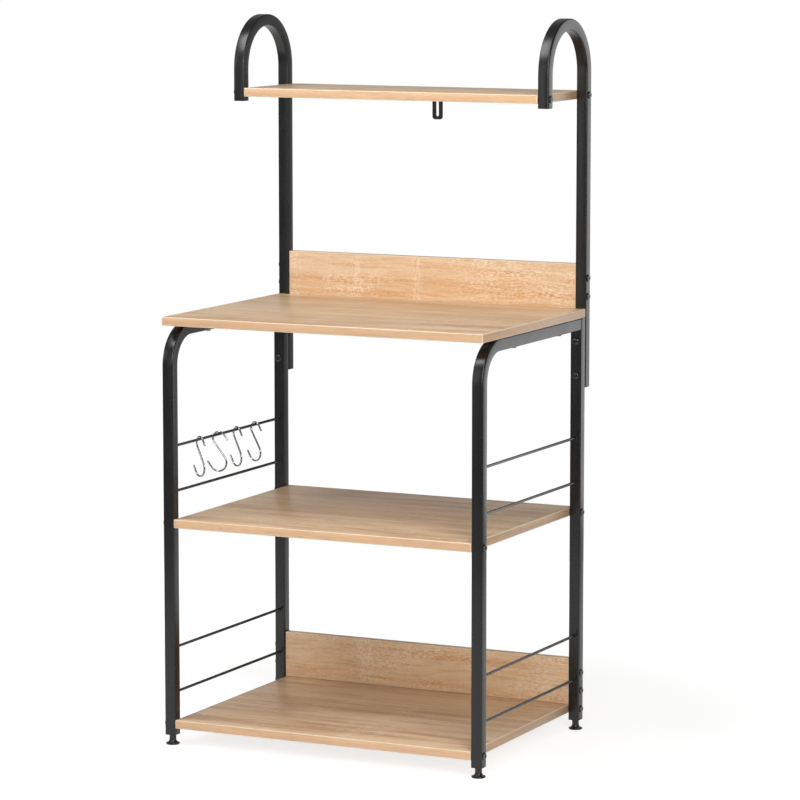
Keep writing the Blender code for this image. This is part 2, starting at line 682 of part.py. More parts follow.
def make_bracket():
    under = TOP_SHELF_HEIGHT - BOARD_THICKNESS
    origin = Vector((BRACKET_OFFSET, POST_Y + TUBE_SIDE / 2, under - SEAT_GAP))
    bracket = place("tip_bracket", bracket_blank(), POWDER_COAT, origin)
    join_or_cut(bracket, bracket_holes(origin), "DIFFERENCE")
    shank = SCREW_DIAMETER / 2
    head = SCREW_HEAD_DIAMETER / 2
    seat = -2 * SEAT_GAP - BRACKET_THICKNESS
    profile = [
        (0, SCREW_BITE),
        (shank, SCREW_BITE),
        (shank, seat),
        (head, seat),
        (head, seat - SCREW_HEAD_HEIGHT / 3),
        (head / 2, seat - SCREW_HEAD_HEIGHT),
        (0, seat - SCREW_HEAD_HEIGHT),
    ]
    screw = turned_mesh("bracket_screw", profile, BOLT_SIDES)
    place("bracket_screw", screw, BLACK_BOLT, bracket_screw_place())


clear_scene()
POWDER_COAT = finish("black_powder_coat", (0.025, 0.025, 0.026), 0.45, 0)
OAK_BOARD = finish("oak_look_board", (0.62, 0.42, 0.27), 0.55, 0)
CHROME = finish("chromed_wire", (0.75, 0.76, 0.78), 0.12, 1)
BLACK_PLASTIC = finish("black_nylon", (0.015, 0.015, 0.016), 0.3, 0)
BLACK_BOLT = finish("black_oxide_steel", (0.03, 0.03, 0.031), 0.35, 1)


def main():
    unit = bpy.data.objects.new("shelving_unit", None)
    bpy.context.scene.collection.objects.link(unit)
    drills = bolt_drills()
    screws = screw_drills()
    make_side_frames(drills)
    make_hoops(drills)
    make_rods()
    make_boards(drills, screws)
    make_bolts()
    make_hooks()
    make_feet()
    make_hoop_caps()
    make_bracket()


main()
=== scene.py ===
import math

import bmesh
import bpy
from bpy.props import FloatProperty, FloatVectorProperty, IntProperty, PointerProperty
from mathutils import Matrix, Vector


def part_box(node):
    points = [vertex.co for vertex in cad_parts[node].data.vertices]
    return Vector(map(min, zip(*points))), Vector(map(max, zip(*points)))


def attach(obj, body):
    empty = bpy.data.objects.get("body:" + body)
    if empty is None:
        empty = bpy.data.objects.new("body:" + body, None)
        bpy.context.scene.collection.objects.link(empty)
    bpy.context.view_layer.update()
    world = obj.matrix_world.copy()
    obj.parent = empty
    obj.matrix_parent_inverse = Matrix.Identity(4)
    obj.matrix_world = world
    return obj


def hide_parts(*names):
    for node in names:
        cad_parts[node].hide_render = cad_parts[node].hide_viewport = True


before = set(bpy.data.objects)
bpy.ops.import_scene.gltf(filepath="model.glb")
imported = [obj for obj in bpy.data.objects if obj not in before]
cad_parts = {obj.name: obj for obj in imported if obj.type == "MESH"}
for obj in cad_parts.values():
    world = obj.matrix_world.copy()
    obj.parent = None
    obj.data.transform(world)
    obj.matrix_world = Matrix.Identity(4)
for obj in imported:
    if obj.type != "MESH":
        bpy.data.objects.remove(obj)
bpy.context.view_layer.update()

bl_info = {
    "name": "Kitchen shelving unit",
    "version": (1, 0, 0),
    "blender": (4, 5, 0),
    "location": "View3D > Sidebar > Rack",
    "description": "Models and finishes the visible pieces of a kitchen shelving unit round its CAD frame",
    "category": "Object",
}

# A millimetre, in metres
MM = 0.001
SIDES = ("left", "right")
QUARTER = math.pi / 2
X, Y, Z = range(3)
# Points nearer than this are merged
TOUCHING = 0.01 * MM
# The most that a piece may stand outside the node that it replaces
FIT = 1.5 * MM
# How high a plug's lip is, and the line left open between it and a hoop's end
PLUG_LIP = 1.5 * MM
PLUG_LINE = 0.3 * MM


def linear(hex_colour):
    """The linear colour of an sRGB hex value."""
    parts = [int(hex_colour[i : i + 2], 16) / 255 for i in (1, 3, 5)]
    return (*[p / 12.92 if p <= 0.04045 else ((p + 0.055) / 1.055) ** 2.4 for p in parts], 1.0)


def shaded(colour, share):
    """A linear colour made lighter or darker by a share."""
    return (*[share * part for part in colour[:3]], 1.0)


def size_of(node):
    """The node's width, depth and height."""
    low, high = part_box(node)
    return high - low


def centre_of(node):
    """The middle of the node's box."""
    low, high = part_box(node)
    return (low + high) / 2


# What a user would change


class RackSizes(bpy.types.PropertyGroup):
    tube_corner: FloatProperty(
        name="Tube corner", description="Outside radius of the square tube's corners",
        default=2.5 * MM, min=0.5 * MM, max=5 * MM, unit="LENGTH",
    )
    tube_wall: FloatProperty(
        name="Tube wall", description="Wall thickness of the square tube",
        default=1.2 * MM, min=0.6 * MM, max=2 * MM, unit="LENGTH",
    )
    bend_radius: FloatProperty(
        name="Bend radius", description="Middle-line radius of the front tubes' quarter bend",
        default=60 * MM, min=30 * MM, max=120 * MM, unit="LENGTH",
    )
    bend_steps: IntProperty(
        name="Bend steps", description="Steps that each quarter turn of a bend is made in",
        default=24, min=6, max=48,
    )
    rod_thickness: FloatProperty(
        name="Rod thickness", description="Diameter of the side rods",
        default=4.9 * MM, min=3 * MM, max=5 * MM, unit="LENGTH",
    )
    weld_reach: FloatProperty(
        name="Weld reach", description="How far the weld at a rod's end spreads round the rod",
        default=1.0 * MM, min=0.2 * MM, max=3 * MM, unit="LENGTH",
    )
    board_edge: FloatProperty(
        name="Board edge", description="Radius of the boards' eased edges",
        default=1.2 * MM, min=0.2 * MM, max=3 * MM, unit="LENGTH",
    )
    bolt_head: FloatProperty(
        name="Bolt head", description="Height of the socket bolts' heads",
        default=2.2 * MM, min=1.5 * MM, max=3.2 * MM, unit="LENGTH",
    )
    hook_wire: FloatProperty(
        name="Hook wire", description="Diameter of the hooks' wire",
        default=3.3 * MM, min=2 * MM, max=4 * MM, unit="LENGTH",
    )
    floor_reach: FloatProperty(
        name="Floor reach", description="How far the studio floor runs each way from the unit",
        default=1.8, min=1.5, max=30, unit="LENGTH",
    )


class RackFinishes(bpy.types.PropertyGroup):
    powder_coat: FloatVectorProperty(
        name="Powder coat", description="Colour of the coated steel tube",
        default=linear("#161515"), size=4, min=0, max=1, subtype="COLOR",
    )
    oak_light: FloatVectorProperty(
        name="Oak, light", description="Lightest wood of the boards' oak print",
        default=linear("#f0cfa8"), size=4, min=0, max=1, subtype="COLOR",
    )
    oak_dark: FloatVectorProperty(
        name="Oak, dark", description="Darkest wood of the boards' oak print",
        default=linear("#c99c70"), size=4, min=0, max=1, subtype="COLOR",
    )
    oak_fleck: FloatVectorProperty(
        name="Oak, flecks", description="Ray flecks of the boards' oak print",
        default=linear("#f9e7ce"), size=4, min=0, max=1, subtype="COLOR",
    )
    edge_band: FloatVectorProperty(
        name="Edge band", description="Colour of the band glued round the boards",
        default=linear("#e2b890"), size=4, min=0, max=1, subtype="COLOR",
    )
    # The eased corners' colour is a painted highlight, pale where the edges catch the light
    arris_highlight: FloatVectorProperty(
        name="Arris", description="Colour of the bands' trimmed corners",
        default=linear("#f6e2c8"), size=4, min=0, max=1, subtype="COLOR",
    )
    chrome: FloatVectorProperty(
        name="Chrome", description="Colour of the plated hooks",
        default=linear("#a6a7aa"), size=4, min=0, max=1, subtype="COLOR",
    )
    nylon: FloatVectorProperty(
        name="Nylon", description="Colour of the moulded feet and plugs",
        default=linear("#141414"), size=4, min=0, max=1, subtype="COLOR",
    )
    black_oxide: FloatVectorProperty(
        name="Black oxide", description="Colour of the blackened bolts and screws",
        default=linear("#58585a"), size=4, min=0, max=1, subtype="COLOR",
    )


# Modelling by hand, in code


def deselect():
    """Leaves edit mode and selects nothing."""
    if bpy.context.mode != "OBJECT":
        bpy.ops.object.mode_set(mode="OBJECT")
    bpy.ops.object.select_all(action="DESELECT")


def just(obj):
    """Selects this object alone and makes it the active one."""
    deselect()
    obj.select_set(True)
    bpy.context.view_layer.objects.active = obj


def settle():
    """Puts the new primitive's place and size in its mesh and opens it for editing. Returns it."""
    bpy.ops.object.transform_apply(location=True, rotation=True, scale=True)
    bpy.ops.object.mode_set(mode="EDIT")
    bpy.ops.mesh.select_mode(type="VERT")
    bpy.ops.mesh.select_all(action="SELECT")
    return bpy.context.active_object


def pick_faces(test):
    """Selects just the faces that pass the test."""
    bpy.ops.mesh.select_mode(type="FACE")
    bpy.ops.mesh.select_all(action="DESELECT")
    mesh = bpy.context.active_object.data
    found = [face for face in bmesh.from_edit_mesh(mesh).faces if test(face)]
    if not found:
        raise RuntimeError(f"{bpy.context.active_object.name}: nothing to select")
    for face in found:
        face.select_set(True)
    bmesh.update_edit_mesh(mesh)


def push(step):
    """Extrudes what is selected by this step."""
    bpy.ops.mesh.extrude_region_move(TRANSFORM_OT_translate={"value": step})


def widen(share, centre):
    """Scales what is selected about the centre, in X and Y."""
    bpy.ops.transform.resize(value=(share, share, 1), center_override=centre)


def apply_modifier(obj, kind, **settings):
    """Adds a modifier with its settings and applies it."""
    just(obj)
    added = obj.modifiers.new(kind.lower(), kind)
    for key, value in settings.items():
        setattr(added, key, value)
    bpy.ops.object.modifier_apply(modifier=added.name)


def finish_shape(obj, angle=35):
    """Merges what touches, points the faces outwards and shades the round parts smooth."""
    just(obj)
    bpy.ops.object.mode_set(mode="EDIT")
    bpy.ops.mesh.select_all(action="SELECT")
    bpy.ops.mesh.remove_doubles(threshold=TOUCHING)
    bpy.ops.mesh.normals_make_consistent(inside=False)
    bpy.ops.object.mode_set(mode="OBJECT")
    bpy.ops.object.shade_smooth_by_angle(angle=math.radians(angle))


def copy_to(model, move=(0, 0, 0), turn=(0, 0, 0)):
    """A copy with its own mesh, turned about the origin and then moved, with its place in its mesh."""
    just(model)
    bpy.ops.object.duplicate(linked=False)
    made = bpy.context.active_object
    made.rotation_euler = turn
    made.location = move
    bpy.ops.object.transform_apply(location=True, rotation=True, scale=True)
    return made


def hand_in(obj, name, material, nodes, body="rack"):
    """Names the piece, coats it, checks that it stays within the nodes that it stands for, hides those nodes,
    and hangs it on the empty of the body that it moves with.
    """
    obj.name = name
    obj.data.name = name
    if material:
        obj.data.materials.clear()
        obj.data.materials.append(material)
    for node in nodes:
        low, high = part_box(node)
        for corner in obj.bound_box:
            outside = [max(low[i] - corner[i], corner[i] - high[i]) for i in range(3)]
            if max(outside) > FIT:
                raise RuntimeError(f"{name} stands {max(outside) / MM:.1f} mm outside {node}")
    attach(obj, body)
    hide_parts(*nodes)


def hand_in_pair(tube, how, node):
    """Hands in the tube as the left one and a copy of it as the right one. how says how it was made."""
    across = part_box(f"{node}_right")[0].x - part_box(f"{node}_left")[0].x
    other = copy_to(tube, (across, 0, 0))
    for side, obj in zip(SIDES, (tube, other)):
        hand_in(obj, f"{how}_{node}_{side}", powder_coat(), [f"{node}_{side}"])


def discard(*models):
    """Removes what was only copied from or cut with."""
    for model in models:
        bpy.data.objects.remove(model)


def start_tube(at, side, sizes):
    """The end of a square tube with round corners, drawn flat and open for extruding."""
    deselect()
    bpy.ops.mesh.primitive_plane_add(size=side, location=at)
    obj = settle()
    bpy.ops.mesh.bevel(offset=sizes.tube_corner, segments=5, affect="VERTICES")
    bpy.ops.mesh.select_all(action="SELECT")
    bpy.ops.mesh.delete(type="ONLY_FACE")
    bpy.ops.mesh.select_all(action="SELECT")
    return obj


def give_wall(obj, sizes):
    """Points the skin outwards and gives the tube its wall, inwards."""
    finish_shape(obj)
    apply_modifier(obj, "SOLIDIFY", thickness=sizes.tube_wall, offset=-1, use_even_offset=True)
    finish_shape(obj)


def turned_up(profile, sides):
    """A round piece drawn up ring by ring, from (radius, height) pairs, with its two ends closed."""
    deselect()
    radius, height = profile[0]
    bpy.ops.mesh.primitive_circle_add(
        vertices=sides, radius=radius, fill_type="NGON", location=(0, 0, height)
    )
    obj = settle()
    bpy.ops.mesh.select_mode(type="FACE")
    bpy.ops.mesh.select_all(action="SELECT")
    for (r0, z0), (r1, z1) in zip(profile, profile[1:]):
        push((0, 0, z1 - z0))
        widen(r1 / r0, (0, 0, z1))
    return obj


# Materials


def feed(tree, node, inputs):
    """Gives each of the node's inputs a value, or the socket that feeds it."""
    for key, value in inputs.items():
        if isinstance(value, bpy.types.NodeSocket):
            tree.links.new(value, node.inputs[key])
        else:
            node.inputs[key].default_value = value


def add_node(tree, kind, inputs=None, **settings):
    """Adds a node with its settings and feeds its inputs."""
    made = tree.nodes.new(kind)
    for key, value in settings.items():
        setattr(made, key, value)
    feed(tree, made, inputs or {})
    return made


def start_material(name):
    """An empty material: its node tree, its shader and its object coordinates in metres."""
    made = bpy.data.materials.new(name)
    made.use_nodes = True
    tree = made.node_tree
    place = add_node(tree, "ShaderNodeTexCoord").outputs["Object"]
    return made, tree, tree.nodes["Principled BSDF"], place


def powder_coat_material():
    """Polyester powder coat, sprayed on steel tube and baked: satin black, with a faint orange peel."""
    made, tree, shader, place = start_material("polyester_powder_coat_satin_black")
    colour = bpy.context.scene.rack_finishes.powder_coat
    # The bake leaves long soft tone changes, some 60 mm apart
    cloud = add_node(
        tree, "ShaderNodeTexNoise", {"Vector": place, "Scale": 1 / (60 * MM), "Detail": 3.0}
    ).outputs["Fac"]
    tone = add_node(
        tree, "ShaderNodeMix", {"Factor": cloud, "A": shaded(colour, 0.8), "B": shaded(colour, 1.2)},
        data_type="RGBA",
    ).outputs["Result"]
    gloss = add_node(
        tree, "ShaderNodeMapRange",
        {"Value": cloud, "From Min": 0.3, "From Max": 0.7, "To Min": 0.24, "To Max": 0.31},
    ).outputs["Result"]
    # Orange peel is about 0.7 mm across. It is drawn at 1.4 mm, so that it shows
    peel = add_node(
        tree, "ShaderNodeTexNoise", {"Vector": place, "Scale": 1 / (1.4 * MM), "Detail": 1.0}
    ).outputs["Fac"]
    bump = add_node(
        tree, "ShaderNodeBump", {"Height": peel, "Strength": 0.05, "Distance": 0.1 * MM}
    ).outputs["Normal"]
    feed(tree, shader, {"Base Color": tone, "Roughness": gloss, "Normal": bump, "IOR": 1.5})
    return made


def oak_print_material(name, light, dark, turn=(0, 0, 0), shift=(0, 0, 0), figure=1.0, fine=1.0):
    """Melamine-faced particle board: pale oak printed on paper, pressed under a semi-matt melamine skin.
    The grain runs along X before it is turned. figure is how strongly its rings and flecks show, and
    fine is a share that makes its staves, streaks and flecks smaller."""
    made, tree, shader, place = start_material(name)
    lay = add_node(
        tree, "ShaderNodeMapping", {"Vector": place, "Rotation": turn, "Location": shift}
    ).outputs["Vector"]

    def wander(vector, over, reach):
        """The coordinates, moved across the grain by up to half the reach, to and fro over this length."""
        drift = add_node(
            tree, "ShaderNodeTexNoise", {"Vector": vector, "Scale": 1 / over, "Detail": 1.0}
        ).outputs["Color"]
        centred = add_node(
            tree, "ShaderNodeVectorMath", {0: drift, 1: (0.5, 0.5, 0.5)}, operation="SUBTRACT"
        ).outputs["Vector"]
        return add_node(
            tree, "ShaderNodeVectorMath", {0: centred, 1: (0, reach, reach), 2: vector},
            operation="MULTIPLY_ADD",
        ).outputs["Vector"]

    def marks(vector, length, width, detail):
        """Soft marks of about this length along the grain and this width across it."""
        drawn_out = add_node(
            tree, "ShaderNodeMapping", {"Vector": vector, "Scale": (1 / length, 1 / width, 1 / width)}
        ).outputs["Vector"]
        return add_node(
            tree, "ShaderNodeTexNoise", {"Vector": drawn_out, "Scale": 1.0, "Detail": detail}
        ).outputs["Fac"]

    grain = wander(lay, 180 * MM, 14 * MM)
    # Staves of lighter and darker wood, 34 mm wide; streaks, 8 mm wide
    staves = marks(grain, 520 * MM, 34 * MM * fine, 2.0)
    streaks = marks(grain, 170 * MM * fine, 8 * MM * fine, 4.0)
    # Growth rings, cut through along the grain: the contour lines of a long low swell, 8 mm apart
    swell = marks(grain, 420 * MM, 70 * MM, 1.0)
    turns = add_node(tree, "ShaderNodeMath", {0: swell, 1: 90.0}, operation="MULTIPLY").outputs["Value"]
    rings = add_node(tree, "ShaderNodeMath", {0: turns}, operation="SINE").outputs["Value"]
    tone = add_node(tree, "ShaderNodeMath", {0: staves, 1: streaks}, operation="ADD").outputs["Value"]
    tone = add_node(
        tree, "ShaderNodeMath", {0: rings, 1: 0.03 * figure, 2: tone}, operation="MULTIPLY_ADD"
    ).outputs["Value"]
    tone = add_node(
        tree, "ShaderNodeMapRange", {"Value": tone, "From Min": 0.72, "From Max": 1.12}
    ).outputs["Result"]
    wood = add_node(
        tree, "ShaderNodeMix", {"Factor": tone, "A": dark, "B": light}, data_type="RGBA"
    ).outputs["Result"]
    # Ray flecks: clusters, a hand wide, of short wavy strokes, 1.8 mm wide and 13 mm long
    strokes = marks(wander(grain, 12 * MM, 4 * MM), 13 * MM * fine, 1.8 * MM, 1.0)
    strokes = add_node(
        tree, "ShaderNodeMapRange", {"Value": strokes, "From Min": 0.38, "From Max": 0.66, "To Min": -0.3}
    ).outputs["Result"]
    clusters = marks(lay, 110 * MM, 45 * MM, 1.0)
    clusters = add_node(
        tree, "ShaderNodeMapRange",
        {
            "Value": clusters, "From Min": 0.44, "From Max": 0.68,
            "To Min": 0.1 * figure, "To Max": 0.4 * figure,
        },
    ).outputs["Result"]
    fleck = add_node(tree, "ShaderNodeMath", {0: strokes, 1: clusters}, operation="MULTIPLY").outputs["Value"]
    # Where a ray is cut lengthways it shows as a ladder across the grain, some 30 mm wide, of pale dashes
    ladder = marks(lay, 30 * MM, 200 * MM, 0.0)
    ladder = add_node(
        tree, "ShaderNodeMapRange",
        {"Value": ladder, "From Min": 0.56, "From Max": 0.72, "To Max": 0.28 * (figure - 0.3)},
    ).outputs["Result"]
    dashes = add_node(
        tree, "ShaderNodeMapRange",
        {"Value": marks(lay, 2.4 * MM, 7 * MM, 1.0), "From Min": 0.4, "From Max": 0.6, "To Min": -0.2},
    ).outputs["Result"]
    fleck = add_node(
        tree, "ShaderNodeMath", {0: ladder, 1: dashes, 2: fleck}, operation="MULTIPLY_ADD"
    ).outputs["Value"]
    flecked = add_node(
        tree, "ShaderNodeMix", {"Factor": fleck, "A": wood, "B": bpy.context.scene.rack_finishes.oak_fleck},
        data_type="RGBA", clamp_factor=False,
    ).outputs["Result"]
    # Pores, filled with dark print, 1.2 mm wide and 26 mm long
    pores = add_node(
        tree, "ShaderNodeMapRange",
        {"Value": marks(grain, 26 * MM, 1.2 * MM, 1.0), "From Min": 0.6, "From Max": 0.72, "To Max": 0.35},
    ).outputs["Result"]
    printed = add_node(
        tree, "ShaderNodeMix", {"Factor": pores, "A": flecked, "B": shaded(dark, 0.6)}, data_type="RGBA"
    ).outputs["Result"]
    gloss = add_node(
        tree, "ShaderNodeMapRange",
        {"Value": streaks, "From Min": 0.3, "From Max": 0.7, "To Min": 0.34, "To Max": 0.42},
    ).outputs["Result"]
    bump = add_node(
        tree, "ShaderNodeBump", {"Height": streaks, "Strength": 0.12, "Distance": 0.1 * MM}
    ).outputs["Normal"]
    feed(tree, shader, {"Base Color": printed, "Roughness": gloss, "Normal": bump, "IOR": 1.5})
    return made


def arris_highlight_material():
    """Edge band, scraped flush with the board. Its corners are painted pale, a painted highlight, and shine a
    little.
    """
    made, tree, shader, place = start_material("edge_band_arris_painted_highlight")
    colour = bpy.context.scene.rack_finishes.arris_highlight
    # The painted highlight's tone wanders every 9 mm
    highlight_patches = add_node(
        tree, "ShaderNodeTexNoise", {"Vector": place, "Scale": 1 / (9 * MM), "Detail": 2.0}
    ).outputs["Fac"]
    tone = add_node(
        tree, "ShaderNodeMix", {"Factor": highlight_patches, "A": shaded(colour, 0.8), "B": shaded(colour, 1.1)},
        data_type="RGBA",
    ).outputs["Result"]
    feed(tree, shader, {"Base Color": tone, "Roughness": 0.3, "IOR": 1.5})
    return made


def chrome_material():
    """Chromium, plated bright on drawn steel wire: mirror-like, a little duller in patches."""
    made, tree, shader, place = start_material("chrome_plated_drawn_wire")
    colour = bpy.context.scene.rack_finishes.chrome
    # The plating dulls in patches of about 8 mm
    dull = add_node(
        tree, "ShaderNodeTexNoise", {"Vector": place, "Scale": 1 / (8 * MM), "Detail": 2.0}
    ).outputs["Fac"]
    gloss = add_node(
        tree, "ShaderNodeMapRange",
        {"Value": dull, "From Min": 0.35, "From Max": 0.7, "To Min": 0.07, "To Max": 0.15},
    ).outputs["Result"]
    # Draw lines of the wire die are some 0.1 mm. They are drawn at 1.2 mm, so that they show
    lines = add_node(
        tree, "ShaderNodeTexNoise", {"Vector": place, "Scale": 1 / (1.2 * MM), "Detail": 1.0}
    ).outputs["Fac"]
    bump = add_node(
        tree, "ShaderNodeBump", {"Height": lines, "Strength": 0.02, "Distance": 0.05 * MM}
    ).outputs["Normal"]
    feed(tree, shader, {"Base Color": colour, "Metallic": 1.0, "Roughness": gloss, "Normal": bump})
    return made


def nylon_material():
    """Nylon 6, injection moulded in a finely eroded tool: deep black with a soft sheen."""
    made, tree, shader, place = start_material("nylon_6_moulded_black")
    colour = bpy.context.scene.rack_finishes.nylon
    # Spark-eroded grain is 0.1 mm. It is drawn at 0.6 mm, so that it shows
    grain = add_node(
        tree, "ShaderNodeTexNoise", {"Vector": place, "Scale": 1 / (0.6 * MM), "Detail": 2.0}
    ).outputs["Fac"]
    tone = add_node(
        tree, "ShaderNodeMix", {"Factor": grain, "A": shaded(colour, 0.7), "B": shaded(colour, 1.3)},
        data_type="RGBA",
    ).outputs["Result"]
    gloss = add_node(
        tree, "ShaderNodeMapRange",
        {"Value": grain, "From Min": 0.3, "From Max": 0.7, "To Min": 0.24, "To Max": 0.34},
    ).outputs["Result"]
    bump = add_node(
        tree, "ShaderNodeBump", {"Height": grain, "Strength": 0.15, "Distance": 0.06 * MM}
    ).outputs["Normal"]
    feed(tree, shader, {"Base Color": tone, "Roughness": gloss, "Normal": bump, "IOR": 1.53})
    return made


def black_oxide_material():
    """Carbon steel, cold headed, then black oxide and oil: near black metal that still glints."""
    made, tree, shader, place = start_material("black_oxide_steel_cold_headed")
    colour = bpy.context.scene.rack_finishes.black_oxide
    # The oxide is uneven over about 2 mm
    patch = add_node(
        tree, "ShaderNodeTexNoise", {"Vector": place, "Scale": 1 / (2 * MM), "Detail": 3.0}
    ).outputs["Fac"]
    tone = add_node(
        tree, "ShaderNodeMix", {"Factor": patch, "A": shaded(colour, 0.6), "B": shaded(colour, 1.4)},
        data_type="RGBA",
    ).outputs["Result"]
    gloss = add_node(
        tree, "ShaderNodeMapRange",
        {"Value": patch, "From Min": 0.3, "From Max": 0.7, "To Min": 0.15, "To Max": 0.25},
    ).outputs["Result"]
    feed(tree, shader, {"Base Color": tone, "Metallic": 1.0, "Roughness": gloss})
    return made


def finish_named(name, maker):
    """The material of this name, made the first time it is wanted."""
    return bpy.data.materials.get(name) or maker()


def powder_coat():
    return finish_named("polyester_powder_coat_satin_black", powder_coat_material)


def nylon():
    return finish_named("nylon_6_moulded_black", nylon_material)


def black_oxide():
    return finish_named("black_oxide_steel_cold_headed", black_oxide_material)


# The studio

# The camera that matches the photograph: place in metres, angles in degrees, lens in mm for a 36 mm sensor
CAMERA_PLACE = (2.8278, -5.7793, 1.4458)
CAMERA_TILT = 7.578
CAMERA_TURN = 25.739
LENS = 169.38
# Lamps: name, place, where it points, width, height and power
LAMPS = (
    ("left_softbox", (-2.8, -2.2, 1.7), (0, 0, 0.7), 1.4, 1.4, 14),
    ("right_softbox", (2.2, -2.4, 1.7), (0, 0, 1.8), 1.4, 1.4, 62),
    ("top_softbox", (-0.75, -0.95, 2.6), (-0.75, -0.45, 0.9), 1.1, 1.2, 29),
    ("left_card", (-0.85, -2.3, 1.35), (0.3, 0, 1.35), 0.5, 1.6, 4),
    ("front_softbox", (0.8, -1.5, 2.2), (0.1, 0, 0.9), 0.8, 0.8, 10),
    ("rear_card", (0.72, 0.9, 0.85), (0.29, 0, 0.85), 0.45, 1.2, 2.2),
)
# The room's light from all round, and how bright its walls look in a mirror
AMBIENT = 0.1
ROOM = 0.1
# The way to the middle of the sweep, level, as the camera looks
SWEEP_WAY = (-0.434, 0.901, 0)


def looked_at(tree, mirrored):
    """1 where the camera sees a surface straight or through glass, the share called mirrored where it
    sees it in a mirror, and 0 where light meets it."""
    path = add_node(tree, "ShaderNodeLightPath").outputs
    seen = add_node(
        tree, "ShaderNodeMath", {0: path["Is Camera Ray"], 1: path["Is Transmission Ray"]},
        operation="MAXIMUM",
    ).outputs["Value"]
    return add_node(
        tree, "ShaderNodeMath", {0: path["Is Glossy Ray"], 1: mirrored, 2: seen}, operation="MULTIPLY_ADD",
        use_clamp=True,
    ).outputs["Value"]


def light_world(world):
    """A white sweep behind the unit, in a dim room. The camera sees only white; what mirrors sees both."""
    world.use_nodes = True
    tree = world.node_tree
    way = add_node(tree, "ShaderNodeTexCoord").outputs["Object"]
    # The sweep stands where the camera looks, ends at its sides and some 5 degrees above the horizon
    facing = add_node(
        tree, "ShaderNodeVectorMath", {0: way, 1: SWEEP_WAY}, operation="DOT_PRODUCT"
    ).outputs["Value"]
    behind = add_node(
        tree, "ShaderNodeMapRange", {"Value": facing, "From Min": 0.55, "From Max": 0.8}
    ).outputs["Result"]
    height = add_node(tree, "ShaderNodeSeparateXYZ", {"Vector": way}).outputs["Z"]
    lit = add_node(
        tree, "ShaderNodeMapRange",
        {"Value": height, "From Min": 0.03, "From Max": 0.11, "To Min": 1.0, "To Max": 0.17},
    ).outputs["Result"]
    sweep = add_node(tree, "ShaderNodeMath", {0: behind, 1: lit}, operation="MULTIPLY").outputs["Value"]
    mirrored = add_node(
        tree, "ShaderNodeMapRange", {"Value": sweep, "To Min": ROOM, "To Max": 1.0}
    ).outputs["Result"]
    strength = add_node(
        tree, "ShaderNodeMapRange", {"Value": looked_at(tree, mirrored), "To Min": AMBIENT, "To Max": 1.0}
    ).outputs["Result"]
    feed(tree, tree.nodes["Background"], {"Color": (1, 1, 1, 1), "Strength": strength})


def studio_floor_material():
    """Matt white seamless paper. It looks white, and darkens only where the unit's shadow falls."""
    made, tree, shader, place = start_material("white_studio_paper_matt")
    fibre = add_node(
        tree, "ShaderNodeTexNoise", {"Vector": place, "Scale": 1 / (4 * MM), "Detail": 2.0}
    ).outputs["Fac"]
    white = add_node(
        tree, "ShaderNodeMapRange",
        {"Value": fibre, "From Min": 0.3, "From Max": 0.7, "To Min": 0.84, "To Max": 0.86},
    ).outputs["Result"]
    feed(tree, shader, {"Base Color": white, "Roughness": 0.9, "Specular IOR Level": 0.0})
    # Lit paper is a white of 1 to the camera; near the unit a share of that comes from the lamps
    distance = add_node(tree, "ShaderNodeVectorMath", {0: place}, operation="LENGTH").outputs["Value"]
    glow_strength = add_node(
        tree, "ShaderNodeMapRange",
        {"Value": distance, "From Min": 0.6, "From Max": 1.6, "To Min": 0.78, "To Max": 1.0},
    ).outputs["Result"]
    glow = add_node(tree, "ShaderNodeEmission", {"Strength": glow_strength}).outputs["Emission"]
    shadowed = add_node(tree, "ShaderNodeBsdfDiffuse", {"Color": linear("#a8a8a8")}).outputs["BSDF"]
    white_paper = add_node(tree, "ShaderNodeAddShader", {0: glow, 1: shadowed}).outputs["Shader"]
    both = add_node(
        tree, "ShaderNodeMixShader", {"Fac": looked_at(tree, 1.0), 1: shader.outputs["BSDF"], 2: white_paper}
    ).outputs["Shader"]
    feed(tree, tree.nodes["Material Output"], {"Surface": both})
    return made


# The pieces


class RACK_OT_front_tubes(bpy.types.Operator):
    """Bend the two front tubes, each one length of square tube: front leg, quarter bend and top rail"""

    bl_idname = "rack.front_tubes"
    bl_label = "Front tubes"
    bl_options = {"REGISTER", "UNDO"}

    def execute(self, context):
        sizes = context.scene.rack_sizes
        low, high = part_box("front_tube_left")
        side = high.x - low.x
        x, y = low.x + side / 2, low.y + side / 2
        rail_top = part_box("rear_leg_left")[1].z
        bend_z = rail_top - side / 2 - sizes.bend_radius
        tube = start_tube((x, y, low.z), side, sizes)
        push((0, 0, bend_z - low.z))
        bpy.ops.mesh.spin(
            steps=sizes.bend_steps, angle=QUARTER, center=(x, y + sizes.bend_radius, bend_z), axis=(1, 0, 0)
        )
        push((0, high.y - y - sizes.bend_radius, 0))
        give_wall(tube, sizes)
        hand_in_pair(tube, "bent", "front_tube")
        return {"FINISHED"}


class RACK_OT_rear_legs(bpy.types.Operator):
    """Cut the two rear legs from straight square tube"""

    bl_idname = "rack.rear_legs"
    bl_label = "Rear legs"
    bl_options = {"REGISTER", "UNDO"}

    def execute(self, context):
        sizes = context.scene.rack_sizes
        side, _, length = size_of("rear_leg_left")
        x, y, _ = centre_of("rear_leg_left")
        leg = start_tube((x, y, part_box("rear_leg_left")[0].z), side, sizes)
        push((0, 0, length))
        give_wall(leg, sizes)
        hand_in_pair(leg, "straight", "rear_leg")
        return {"FINISHED"}


